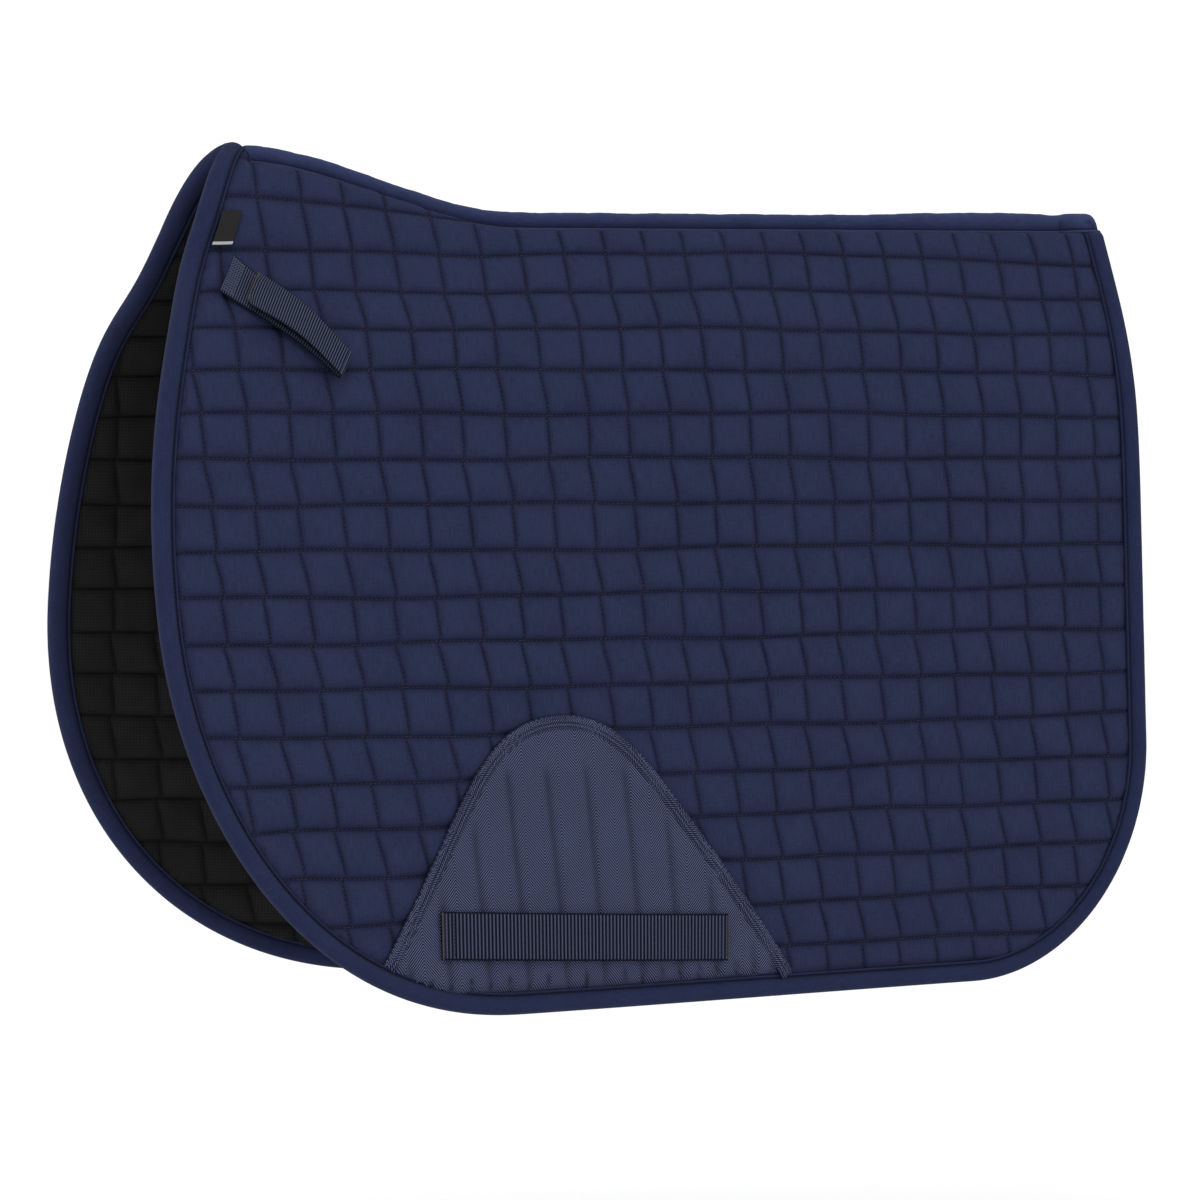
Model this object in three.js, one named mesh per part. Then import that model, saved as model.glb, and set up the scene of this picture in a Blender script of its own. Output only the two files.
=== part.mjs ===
// Saddle pad: quilted cloth, wadding and lining draped over a spine seam, with
// bound edges, girth patches, webbing keepers and front straps. Millimetres,
// +X towards the rear, +Z up, origin on the flat underside of the spine tape.
import * as THREE from "three";

// ---- outline and drape ----
const REAR = 635; // rear edge, measured back from the withers point
const REAR_LEAN = 10; // how much further back the rear edge sits low down
const DROP = 528; // cloth length below the level where the walls start
const BOW = -98; // furthest forward point of the front edge
const FRONT_TOP = -43; // front edge where the walls start
const WITHERS_RISE = 43; // spine is this much higher at the withers
const WITHERS_RUN = 197; // and comes down to level over this length
const CROWN_DROP = 14; // walls start this far below the level spine
const SPLIT = 14; // fold line, cloth length below the wall start
const SPLIT_GAP = 0.9; // half the clear gap either side of the fold line

// ---- layers, measured outwards from the outer face of the cloth ----
const CLOTH = [-1, 0];
const WADDING = [-8.3, -1.3];
const LINING = [-10.1, -8.6];
const BINDING_OUT = 1.9;
const BINDING_IN = -12;
const BINDING_T = 1.2;
const BINDING_W = 13;
const PANEL_INSET = 3.6;

// ---- girth patch, keeper and strap, in cloth coordinates ----
const PATCH_X = 180;
const PATCH_LEAN = 8; // the patch's middle drifts back by this going down
const PATCH_TOP = 335;
const PATCH_BASE = 42.4;
const PATCH_SLOPE = 0.683;
const PATCH_ROUND = 12.3;
const PATCH_T = 1;
const EDGING_W = 9;
const KEEPER = { x0: 81, x1: 300, s0: 475, s1: 486, w: 31, t: 1.8, bow: 2.5 };
const STRAP = { x0: -23, s0: 34, x1: 43, s1: 101, w: 26, t: 1.8, anchor: 13 };
const LABEL = { low: -10, high: 11, w: 17, t: 0.6 };

// ---- mounting point: middle of the level part of the inner spine tape ----
const MOUNT_X = 400;
const MOUNT_Z = -14.2;

const COL = {
  navy: { color: 0x252b45, roughness: 0.85, metalness: 0 },
  binding: { color: 0x232a44, roughness: 0.8, metalness: 0 },
  black: { color: 0x161517, roughness: 0.9, metalness: 0 },
  white: { color: 0xe4e2dc, roughness: 0.95, metalness: 0 },
  patch: { color: 0x363c52, roughness: 0.6, metalness: 0 },
  webbing: { color: 0x262c40, roughness: 0.55, metalness: 0 },
};

const clamp = (v, a, b) => Math.min(b, Math.max(a, v));
const lerp = (a, b, t) => a + (b - a) * t;
const smooth = (t) => t * t * (3 - 2 * t);

// height of the spine line
function ridge(x) {
  return WITHERS_RISE * (1 - smooth(clamp(x / WITHERS_RUN, 0, 1)));
}

// half width where the walls start
function shoulder(x) {
  return 40 - (14 * x) / 630;
}

// outward slope of the wall: sine of its angle from vertical
function slope(x, s) {
  const g = clamp(1 - x / 630, 0, 1.15);
  const flare = 0.2 * Math.max(0, 1 - x / 724) ** 2 - 0.02 * (1 - g);
  const top = (0.43 + 0.2 * g) * Math.exp(-((s / (118 - 30 * g)) ** 3));
  return top * (1 - 0.9 * g * g * Math.exp(-((s / 40) ** 2))) + flare;
}

// outer face of the wall at cloth position (x, s), moved outwards by o
function wall(x, s, o) {
  const n = 48;
  let y = shoulder(x);
  let z = -CROWN_DROP;
  for (let i = 0; i < n; i++) {
    const m = slope(x, (s * (i + 0.5)) / n);
    y += (m * s) / n;
    z -= (Math.sqrt(1 - m * m) * s) / n;
  }
  const m = slope(x, s);
  return [x, y + Math.sqrt(1 - m * m) * o, z + m * o];
}

// the elliptical arch between wall start and spine at one x
function arch(x) {
  const rise = ridge(x) + CROWN_DROP;
  const m = slope(x, 0);
  const q = ((m / Math.sqrt(1 - m * m)) * rise) / shoulder(x);
  const low = Math.asin(q / (1 - q));
  const a = shoulder(x) / Math.cos(low);
  const b = rise / (1 - Math.sin(low));
  return { a, b, low, mid: ridge(x) - b };
}

// outer face of the crown: e runs from 0 at the wall start to 1 at the spine
function crown(x, e, o, seam = 0.3) {
  const { a, b, low, mid } = arch(x);
  const f = lerp(low, Math.acos(seam / a), e);
  const ny = b * Math.cos(f);
  const nz = a * Math.sin(f);
  const n = Math.hypot(ny, nz);
  return [x, a * Math.cos(f) + (ny / n) * o, mid + b * Math.sin(f) + (nz / n) * o];
}

// front and rear edge of the cloth at cloth length s below the wall start
function frontEdge(s) {
  if (s < 262) return BOW + (FRONT_TOP - BOW) * (1 - s / 262) ** 2.1;
  const t = clamp((s - 262) / (DROP - 262), 0, 1);
  return BOW + 240 * (1 - (1 - t ** 2.1) ** 0.45);
}
function rearEdge(s) {
  if (s < 368) return REAR + (REAR_LEAN * s) / 368;
  const t = clamp((s - 368) / (DROP - 368), 0, 1);
  return REAR + REAR_LEAN - 145 * (1 - Math.sqrt(1 - t * t));
}
function crownFront(e) {
  return -8 + (FRONT_TOP + 8) * (1 - e) ** 1.1;
}

// ---- mesh builder: a slab of m by n cells with two faces, closed all round ----
function slab(m, n, f) {
  const pos = [];
  const idx = [];
  const at = (i, j, k) => (i * (n + 1) + j) * 2 + k;
  for (let i = 0; i <= m; i++)
    for (let j = 0; j <= n; j++)
      for (let k = 0; k < 2; k++) pos.push(...f(i, j, k));
  const quad = (a, b, c, d) => idx.push(a, b, c, a, c, d);
  for (let i = 0; i < m; i++)
    for (let j = 0; j < n; j++) {
      quad(at(i, j, 0), at(i + 1, j, 0), at(i + 1, j + 1, 0), at(i, j + 1, 0));
      quad(at(i, j, 1), at(i, j + 1, 1), at(i + 1, j + 1, 1), at(i + 1, j, 1));
    }
  for (let i = 0; i < m; i++) {
    quad(at(i, 0, 1), at(i + 1, 0, 1), at(i + 1, 0, 0), at(i, 0, 0));
    quad(at(i, n, 0), at(i + 1, n, 0), at(i + 1, n, 1), at(i, n, 1));
  }
  for (let j = 0; j < n; j++) {
    quad(at(0, j, 0), at(0, j + 1, 0), at(0, j + 1, 1), at(0, j, 1));
    quad(at(m, j, 1), at(m, j + 1, 1), at(m, j + 1, 0), at(m, j, 0));
  }
  return { pos, idx };
}

const group = new THREE.Group();
group.name = "saddle_pad";

function add(name, look, { pos, idx }) {
  const p = pos.slice();
  for (let i = 0; i < p.length; i += 3) {
    p[i] -= MOUNT_X;
    p[i + 2] -= MOUNT_Z;
  }
  let volume = 0;
  const v = (i) => new THREE.Vector3(p[3 * i], p[3 * i + 1], p[3 * i + 2]);
  for (let i = 0; i < idx.length; i += 3)
    volume += v(idx[i]).dot(v(idx[i + 1]).cross(v(idx[i + 2])));
  const order = volume < 0 ? idx.slice().reverse() : idx;
  const geometry = new THREE.BufferGeometry();
  geometry.setAttribute("position", new THREE.Float32BufferAttribute(p, 3));
  geometry.setIndex(order);
  geometry.computeVertexNormals();
  const mesh = new THREE.Mesh(geometry, new THREE.MeshStandardMaterial(COL[look]));
  mesh.name = name;
  group.add(mesh);
}

// ---- rows and columns shared by every layer of a flap ----
const rows = [];
for (let i = 0; i <= 8; i++) rows.push(SPLIT + SPLIT_GAP + i * 17);
for (let i = 1; i <= 4; i++) rows.push(lerp(rows[8], 368, i / 4));
for (let i = 1; i <= 7; i++) {
  const t = Math.sin((i / 7) * (Math.PI / 2));
  rows.push(368 + (DROP - PANEL_INSET - 368) * t);
}
const COLS = 11;

// the outline pulled in by t, as a point for the row s on the front or rear edge
function inset(edge, s, t) {
  const h = 0.5;
  const lo = Math.max(s - h, 0);
  const hi = Math.min(s + h, DROP);
  const dx = (edge(hi) - edge(lo)) / (hi - lo);
  const l = Math.hypot(dx, 1);
  const side = edge === frontEdge ? 1 : -1;
  return [edge(s) + (side * t) / l, s - (side * t * dx) / l];
}

// x where the outline pulled in by t crosses cloth length s
function edgeX(edge, s, t) {
  let lo = s;
  let hi = Math.min(s + t * 1.5, DROP - 0.01);
  for (let i = 0; i < 40; i++) {
    const mid = (lo + hi) / 2;
    if (inset(edge, mid, t)[1] < s) lo = mid;
    else hi = mid;
  }
  return inset(edge, (lo + hi) / 2, t)[0];
}
const rowEnds = rows.map((s) => [
  edgeX(frontEdge, s, PANEL_INSET),
  edgeX(rearEdge, s, PANEL_INSET),
]);

const mirror = (side, p) => [p[0], side * p[1], p[2]];

// outer edge path of a flap: down the front, along the hem, up the rear
const path = [];
const LAST = rows.length - 1;
for (let i = 0; i <= LAST; i++) {
  let s = i === LAST ? DROP - 0.4 : rows[i];
  if (i > 12 && i < LAST) s = 368 + (DROP - 368) * Math.sin(((i - 12) / 7.4) * (Math.PI / 2));
  path.push([s, frontEdge, frontEdge(s)]);
}
for (let j = 1; j < 6; j++) path.push([DROP, null, lerp(frontEdge(DROP), 500, j / 6)]);
for (let i = LAST; i >= 0; i--) {
  let s = i === LAST ? DROP - 0.4 : rows[i];
  if (i > 12 && i < LAST) s = 368 + (DROP - 368) * Math.sin(((i - 12) / 7.4) * (Math.PI / 2));
  path.push([s, rearEdge, rearEdge(s)]);
}
const inFrom = (i, t) => {
  const [s, edge, x] = path[i];
  return edge ? inset(edge, s, t) : [x, s - t];
};

// binding section, from the open end of the outer leg round to the inner leg:
// distance in from the edge, offset, for the outside and the inside of the tape
const BIND = [
  [BINDING_W, BINDING_OUT, BINDING_W, BINDING_OUT - BINDING_T],
  [2.6, BINDING_OUT, 2.8, BINDING_OUT - BINDING_T],
  [0, -2.2, 1.4, -2.2],
  [0, -7.9, 1.4, -7.9],
  [2.6, BINDING_IN, 2.8, BINDING_IN + BINDING_T],
  [BINDING_W, BINDING_IN, BINDING_W, BINDING_IN + BINDING_T],
];

// the girth patch: a rounded top running out into straight sides
const patchHalf = (s) => {
  const d = Math.max(0, s - PATCH_TOP);
  return (PATCH_BASE + PATCH_SLOPE * d) * Math.sqrt(1 - Math.exp(-d / PATCH_ROUND));
};
const patchMiddle = (s) => PATCH_X + PATCH_LEAN * smooth(clamp((s - PATCH_TOP) / 150, 0, 1));
const PATCH_END = DROP - BINDING_W - 1.2;

for (const [side, tag] of [[-1, "left"], [1, "right"]]) {
  const on = (x, s, o) => mirror(side, wall(x, s, o));

  // quilted panel layers of the flap
  const layer = ([inner, outer]) =>
    slab(LAST, COLS, (i, j, k) => {
      const x = lerp(rowEnds[i][0], rowEnds[i][1], j / COLS);
      return on(x, rows[i], k ? outer : inner);
    });
  add(`flap_cloth_${tag}`, "navy", layer(CLOTH));
  add(`flap_wadding_${tag}`, "white", layer(WADDING));
  add(`flap_lining_${tag}`, "black", layer(LINING));

  // bound edge: front, hem and rear in one tape
  add(
    `flap_binding_${tag}`,
    "binding",
    slab(path.length - 1, BIND.length - 1, (i, j, k) => {
      const [x, s] = inFrom(i, BIND[j][2 * k]);
      return on(x, Math.max(s, SPLIT + SPLIT_GAP), BIND[j][2 * k + 1]);
    })
  );

  // crown half: from the fold line up to the spine seam
  const CR = 9;
  const crownPoint = (x, r, o) =>
    r < 1
      ? mirror(side, wall(x, (SPLIT - SPLIT_GAP) * (1 - r), o))
      : mirror(side, crown(x, (r - 1) / (CR - 1), o));
  const crownEnd = (r, t) =>
    r < 1
      ? inset(frontEdge, (SPLIT - SPLIT_GAP) * (1 - r), t)[0]
      : crownFront((r - 1) / (CR - 1)) + t * lerp(1.08, 1, (r - 1) / (CR - 1));
  const crownX = (r, j) => {
    const front = crownEnd(r, PANEL_INSET);
    const rear = REAR - PANEL_INSET;
    return j < 9 ? lerp(front, WITHERS_RUN, j / 9) : lerp(WITHERS_RUN, rear, (j - 9) / 3);
  };
  const crownLayer = ([inner, outer]) =>
    slab(CR, 12, (i, j, k) => crownPoint(crownX(i, j), i, k ? outer : inner));
  add(`crown_cloth_${tag}`, "navy", crownLayer(CLOTH));
  add(`crown_wadding_${tag}`, "white", crownLayer(WADDING));
  add(`crown_lining_${tag}`, "black", crownLayer(LINING));

  // girth patch, sewn over the cloth and ending at the hem binding
  const lift = 0.5;
  const PR = 10;
  const patchRow = (i, t) => {
    const top = PATCH_TOP + 0.4 + t;
    return lerp(top, PATCH_END, (i / PR) ** 1.5);
  };
  const patchLeft = (s, t) =>
    Math.max(
      patchMiddle(s) - patchHalf(s) + t * 1.3,
      s > 440 ? edgeX(frontEdge, s, BINDING_W + 1.5) : -1e3
    );
  add(
    `girth_patch_${tag}`,
    "patch",
    slab(PR, 8, (i, j, k) => {
      const s = patchRow(i, 0);
      const x = lerp(patchLeft(s, 0), patchMiddle(s) + patchHalf(s), j / 8);
      return on(x, s, lift + k * PATCH_T);
    })
  );

  // edging tape along both sides and round the top of the patch
  const EN = 14;
  const edgeS = (i) => {
    const u = Math.abs(i - EN) / EN;
    return PATCH_TOP + (i < EN ? 484 - PATCH_TOP : PATCH_END - PATCH_TOP) * u ** 1.7;
  };
  add(
    `patch_edging_${tag}`,
    "patch",
    slab(2 * EN, 1, (i, j, k) => {
      const s = edgeS(i);
      const way = i < EN ? -1 : 1;
      const grow = patchHalf(s + 0.5) - patchHalf(s - 0.5);
      const l = Math.hypot(1, grow);
      const t = 0.6 + j * EDGING_W;
      const px = patchMiddle(s) + (i === EN ? 0 : way * (patchHalf(s) - t / l));
      const ps = s + (i === EN ? t : (t * grow) / l);
      return on(px, Math.min(ps, PATCH_END), lift + PATCH_T + 0.4 + k * 0.8);
    })
  );

  // girth keeper: webbing sewn down at both ends, a little slack between them
  const KN = 8;
  const ko = lift + PATCH_T + 0.4;
  add(
    `girth_keeper_${tag}`,
    "webbing",
    slab(KN, 1, (i, j, k) => {
      const u = i / KN;
      const x = lerp(KEEPER.x0, KEEPER.x1, u);
      const s = lerp(KEEPER.s0, KEEPER.s1, u) + (j - 0.5) * KEEPER.w;
      const slack = KEEPER.bow * Math.sin(Math.PI * clamp((u - 0.06) / 0.88, 0, 1));
      return on(x, s, ko + slack + k * KEEPER.t);
    })
  );

  // front strap: sewn anchor, lower layer, and a tab folded back over it
  const len = Math.hypot(STRAP.x1 - STRAP.x0, STRAP.s1 - STRAP.s0);
  const dir = [(STRAP.x1 - STRAP.x0) / len, (STRAP.s1 - STRAP.s0) / len];
  const strip = (n, from, to, width, o, t) =>
    slab(n, 2, (i, j, k) => {
      const u = lerp(from, to, i / n);
      const v = (j / 2 - 0.5) * width;
      const x = STRAP.x0 + dir[0] * u - dir[1] * v;
      const s = STRAP.s0 + dir[1] * u + dir[0] * v;
      return on(x, s, o + k * t);
    });
  const w = STRAP.w;
  add(`strap_anchor_${tag}`, "webbing", strip(2, 0, STRAP.anchor - 0.6, w, 0.8, STRAP.t));
  add(`strap_lower_${tag}`, "webbing", strip(6, STRAP.anchor, len, w, 0.8, STRAP.t));
  add(`strap_hook_${tag}`, "black", strip(4, 22, len - 9, w - 6, 3, 0.7));
  add(`strap_loop_${tag}`, "black", strip(4, 22, len - 9, w - 6, 4.1, 0.7));
  add(`strap_tab_${tag}`, "webbing", strip(6, 16, len, w, 5.2, STRAP.t));
}

// ---- spine: outer tape, its folded rear end and the inner tape ----
const SN = 13;
const spineX = (i, from, to) =>
  i < 10 ? lerp(from, WITHERS_RUN, i / 10) : lerp(WITHERS_RUN, to, (i - 10) / (SN - 10));
const over = (x, v, o) => {
  const { a, b, mid } = arch(x);
  const c = clamp(Math.abs(v) / a, 0, 0.98);
  const f = Math.acos(c);
  const ny = b * Math.cos(f);
  const nz = a * Math.sin(f);
  const n = Math.hypot(ny, nz);
  const y = a * Math.cos(f) + (ny / n) * o;
  return [x, (Math.sign(v) || 0) * y, mid + b * Math.sin(f) + (nz / n) * o];
};
const TAPE = [-13, -8, -3, 3, 8, 13];
add(
  "spine_tape_outer",
  "binding",
  slab(SN, TAPE.length - 1, (i, j, k) =>
    over(spineX(i, -8 + BINDING_W + 1, REAR - BINDING_W - 1), TAPE[j], 0.5 + k))
);
add(
  "spine_tape_end",
  "binding",
  slab(2, TAPE.length - 1, (i, j, k) =>
    over(lerp(REAR - 26, REAR, i / 2), TAPE[j], BINDING_OUT + 0.4 + k))
);
const innerTop = (x, y) => {
  const t = smooth(clamp(x / WITHERS_RUN, 0, 1));
  return ridge(x) - 10.7 - (y * y) / (2 * lerp(5.5, 18, t));
};
add(
  "spine_tape_inner",
  "binding",
  slab(SN, 4, (i, j, k) => {
    const x = spineX(i, -8 + BINDING_W + 1, REAR - BINDING_W - 1);
    const half = lerp(5, 9, smooth(clamp(x / WITHERS_RUN, 0, 1)));
    const y = lerp(-half, half, j / 4);
    return [x, y, k ? innerTop(x, y) : ridge(x) + MOUNT_Z];
  })
);

// ---- bindings that cross the crown, front and rear ----
function crossing(name, end) {
  const n = 9;
  add(
    name,
    "binding",
    slab(2 * n, BIND.length - 1, (i, j, k) => {
      const r = n - Math.abs(i - n);
      const side = i < n ? -1 : 1;
      const t = BIND[j][2 * k];
      const o = BIND[j][2 * k + 1];
      const x = end(r, n, t);
      if (r < 1) return mirror(side, wall(x, SPLIT - SPLIT_GAP, o));
      if (r === n) return mirror(side, crown(x, 1, o, 0));
      return mirror(side, crown(x, (r - 1) / (n - 1), o));
    })
  );
}
crossing("crown_binding_front", (r, n, t) =>
  r < 1
    ? inset(frontEdge, SPLIT - SPLIT_GAP, t)[0]
    : crownFront((r - 1) / (n - 1)) + t * lerp(1.08, 1, (r - 1) / (n - 1))
);
crossing("crown_binding_rear", (r, n, t) => REAR - t);

// ---- small woven label on the left, caught in the front binding ----
const FRONT_ARCH = 72; // cloth length of the arch at the withers
add(
  "woven_label_left",
  "black",
  slab(4, 1, (i, j, k) => {
    const up = lerp(LABEL.low, LABEL.high, i / 4);
    const e = Math.max(up, 0) / FRONT_ARCH;
    const front = up < 0 ? frontEdge(-up) : crownFront(e);
    const x = front + BINDING_W * 1.06 + 1 + j * LABEL.w;
    const o = 0.7 + k * LABEL.t;
    return mirror(-1, up < 0 ? wall(x, -up, o) : crown(x, e, o));
  })
);

export default group;
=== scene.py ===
"""Saddle pad: quilted panels, bound edges, girth patches, keepers and front straps.

Cloth coordinates are millimetres on the unrolled flap: x runs back from the withers,
v runs down from where the walls start, and v below zero climbs the arch to the spine.
"""
import math

import bpy
import numpy as np
from mathutils import Matrix, Vector


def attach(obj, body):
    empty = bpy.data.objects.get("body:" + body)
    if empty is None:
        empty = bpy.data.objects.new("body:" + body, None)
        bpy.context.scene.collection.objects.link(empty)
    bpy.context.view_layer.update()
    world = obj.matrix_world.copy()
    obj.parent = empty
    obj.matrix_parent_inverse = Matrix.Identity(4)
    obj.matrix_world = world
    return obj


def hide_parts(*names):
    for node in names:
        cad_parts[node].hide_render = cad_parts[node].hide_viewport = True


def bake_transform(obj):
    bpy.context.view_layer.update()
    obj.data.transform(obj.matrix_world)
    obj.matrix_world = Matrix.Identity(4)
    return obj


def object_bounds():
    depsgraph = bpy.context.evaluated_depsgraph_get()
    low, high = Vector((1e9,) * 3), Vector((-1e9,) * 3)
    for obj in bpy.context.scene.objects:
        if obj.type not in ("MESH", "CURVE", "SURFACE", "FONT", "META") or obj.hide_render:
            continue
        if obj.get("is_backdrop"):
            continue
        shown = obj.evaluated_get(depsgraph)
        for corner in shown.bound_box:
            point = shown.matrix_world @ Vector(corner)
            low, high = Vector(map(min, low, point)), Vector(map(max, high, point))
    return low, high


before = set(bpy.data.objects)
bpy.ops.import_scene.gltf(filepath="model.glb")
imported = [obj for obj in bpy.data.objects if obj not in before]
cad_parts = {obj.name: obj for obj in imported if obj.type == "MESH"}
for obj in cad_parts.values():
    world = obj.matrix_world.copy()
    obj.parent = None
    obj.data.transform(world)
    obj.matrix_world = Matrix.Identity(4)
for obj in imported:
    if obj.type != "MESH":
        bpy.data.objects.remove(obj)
cad_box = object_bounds()

# ---- driving dimensions, the same as the frame's ----
REAR, REAR_LEAN, DROP = 635, 10, 528
BOW, FRONT_TOP = -98, -43
FRONT_KNEE, FRONT_SWEEP = 262, 240  # where the front edge turns back, and how far
REAR_KNEE, REAR_SWEEP = 368, 145
TAPER_RUN, FLARE_RUN = 630, 724  # how far back the arch narrows and the walls flare
WITHERS_RISE, WITHERS_RUN, CROWN_DROP = 43, 197, 14
MOUNT_X, MOUNT_Z = 400, -14.2
PATCH_X, PATCH_LEAN, PATCH_TOP = 180, 8, 335
PATCH_BASE, PATCH_SLOPE, PATCH_ROUND = 42.4, 0.683, 12.3
SIDES = ((-1, "left"), (1, "right"))

# ---- quilting ----
CELL = 30
FIRST_ROW = 15.5
MIDDLE = -5.0  # the layers meet here when stitched flat
CELL_STEPS = np.array([0, 0.05, 0.13, 0.27, 0.42, 0.58, 0.73, 0.87, 0.95])
STITCH_SINK = -3.5
BOUND = 14.0  # how far in from the edge the binding reaches
KEEL_HALF, KEEL_FOOT = 7.0, 11.7  # the bound spine seam stands up from here
STITCH_RISE = 0.1  # how far a thread stands out of its seam, in thread thicknesses
WEAVE_PITCH, TAPE_PITCH, HOLE_PITCH = 0.0006, 0.00045, 0.0022  # metres

# ---- where the fabric bends between the spine and a flap; no piece is made to bend here ----
BEND_START, BEND_END = (0, 0, -0.006), (0, 0, -0.034)


# ======== drape of the pad ========
def unit(vectors):
    return vectors / np.linalg.norm(vectors, axis=-1, keepdims=True)


def smooth(t):
    t = np.clip(t, 0, 1)
    return t * t * (3 - 2 * t)


def ridge(x):
    return WITHERS_RISE * (1 - smooth(x / WITHERS_RUN))


def shoulder(x):
    return 40 - 14 * x / TAPER_RUN


def slope(x, s):
    """Sine of the wall's angle from vertical."""
    g = np.clip(1 - x / TAPER_RUN, 0, 1.15)
    flare = 0.2 * np.maximum(0, 1 - x / FLARE_RUN) ** 2 - 0.02 * (1 - g)
    top = (0.43 + 0.2 * g) * np.exp(-((s / (118 - 30 * g)) ** 3))
    return top * (1 - 0.9 * g * g * np.exp(-((s / 40) ** 2))) + flare


def wall(x, s, o):
    steps = (np.arange(48) + 0.5) / 48
    m = slope(x[..., None], s[..., None] * steps)
    y = shoulder(x) + m.mean(-1) * s
    z = -CROWN_DROP - np.sqrt(1 - m * m).mean(-1) * s
    m = slope(x, s)
    c = np.sqrt(1 - m * m)
    return np.stack([x, y + c * o, z + m * o], -1)


def arch(x):
    rise = ridge(x) + CROWN_DROP
    m = slope(x, 0.0)
    q = m / np.sqrt(1 - m * m) * rise / shoulder(x)
    low = np.arcsin(q / (1 - q))
    b = rise / (1 - np.sin(low))
    return shoulder(x) / np.cos(low), b, low, ridge(x) - b


def on_ellipse(x, f, o):
    a, b, _, mid = arch(x)
    normal = np.stack([0 * x, b * np.cos(f), a * np.sin(f)], -1)
    return np.stack([x, a * np.cos(f), mid + b * np.sin(f)], -1) + unit(normal) * o[..., None]


def crown(x, e, o, seam=0.3):
    """The arch at share e of the way from the wall start up to the spine."""
    a, _, low, _ = arch(x)
    return on_ellipse(x, low + (np.arccos(seam / a) - low) * e, o)


def arch_length(x):
    e = np.linspace(0, 1, 13)
    x = np.asarray(x, float)[..., None] + 0 * e
    line = crown(x, e + 0 * x, 0 * x)
    return np.linalg.norm(np.diff(line, axis=-2), axis=-1).sum(-1)


def to_frame(side, point):
    """Metres in the frame, on the left (-1) or right (1) side."""
    move = np.array([-MOUNT_X, 0, -MOUNT_Z])
    return (point * np.array([1, side, 1]) + move) / 1000


def cloth(side, x, v, o, foot=None, seam=0.3):
    """A point of the pad moved outwards by o. foot is the x that v is measured at."""
    x, v, o = (np.array(a, float) for a in np.broadcast_arrays(x, v, o))
    length = arch_length(x if foot is None else np.broadcast_to(foot, x.shape))
    low = wall(x, np.maximum(v, 0), o)
    high = crown(x, np.clip(-v / length, 0, 1), o, seam)
    return to_frame(side, np.where((v < 0)[..., None], high, low))


def over(side, x, y, o):
    """A point across the spine, y to one side of its middle."""
    x, y, o = (np.array(a, float) for a in np.broadcast_arrays(x, y, o))
    a = arch(x)[0]
    point = on_ellipse(x, np.arccos(np.clip(np.abs(y) / a, 0, 0.98)), o)
    point[..., 1] *= np.sign(y)
    return to_frame(side, point)


# ======== outline ========
def front_edge(s):
    t = np.clip((s - FRONT_KNEE) / (DROP - FRONT_KNEE), 0, 1)
    upper = BOW + (FRONT_TOP - BOW) * np.clip(1 - s / FRONT_KNEE, 0, 1) ** 2.1
    return np.where(s < FRONT_KNEE, upper, BOW + FRONT_SWEEP * (1 - (1 - t**2.1) ** 0.45))


def rear_edge(s):
    t = np.clip((s - REAR_KNEE) / (DROP - REAR_KNEE), 0, 1)
    return REAR + REAR_LEAN * np.clip(s / REAR_KNEE, 0, 1) - REAR_SWEEP * (1 - np.sqrt(1 - t * t))


def crown_front(e):
    return -8 + (FRONT_TOP + 8) * (1 - e) ** 1.1


def run_along(line):
    """Distance along a line of points, starting from zero."""
    return np.concatenate([[0], np.cumsum(np.linalg.norm(np.diff(line, axis=0), axis=1))])


def along_run(places, run, values):
    """Rows of values, given at each distance in run, read off at other distances."""
    return np.stack([np.interp(places, run, column) for column in values.T], -1)


def even_line(line, step, rounds):
    """A line in cloth coordinates at an even step, with its smoothed unit tangents and its run."""
    run = run_along(line)
    even = np.linspace(0, run[-1], int(run[-1] / step))
    line = along_run(even, run, line)
    tangent = np.gradient(line, axis=0)
    for _ in range(rounds):
        tangent[1:-1] = (tangent[:-2] + tangent[1:-1] + tangent[2:]) / 3
    return line, unit(tangent), even


def outline():
    """The bound edge of one side: withers to hem to rear end of the spine."""
    e = np.linspace(1, 0, 20)
    x = crown_front(e)
    parts = [np.stack([x, -e * arch_length(x)], -1)]
    s = FRONT_KNEE + (DROP - FRONT_KNEE) * np.sin(np.linspace(0, math.pi / 2, 120)) ** 0.8
    s = np.concatenate([np.linspace(3, FRONT_KNEE - 4, 80), s])
    parts.append(np.stack([front_edge(s), s], -1))
    hem = np.linspace(BOW + FRONT_SWEEP + 2, REAR + REAR_LEAN - REAR_SWEEP - 2, 72)
    parts.append(np.stack([hem, np.full(72, float(DROP))], -1))
    s = REAR_KNEE + (DROP - REAR_KNEE) * np.sin(np.linspace(math.pi / 2, 0, 80))
    s = np.concatenate([s, np.linspace(REAR_KNEE - 4, 0, 90)])
    parts.append(np.stack([rear_edge(s), s], -1))
    e = np.linspace(0.05, 1, 16)
    x = np.full(16, float(REAR))
    parts.append(np.stack([x, -e * arch_length(x)], -1))
    line, tangent, even = even_line(np.concatenate(parts), 3.5, 3)
    return line, np.stack([tangent[:, 1], -tangent[:, 0]], -1), even


OUTLINE, INWARD, RUN = outline()
FOOT = OUTLINE[:, 0].copy()


def inside_edge(t):
    """The outline pulled in by t; near the spine it is pulled along x alone."""
    turn = smooth(OUTLINE[:, 1] / 60)
    nx, nv = INWARD[:, 0], INWARD[:, 1]
    whole = np.where(np.abs(nx) > 0.5, nx, 1)
    x = OUTLINE[:, 0] + t * (turn * nx + (1 - turn) / whole)
    return x, OUTLINE[:, 1] + t * turn * nv


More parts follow.
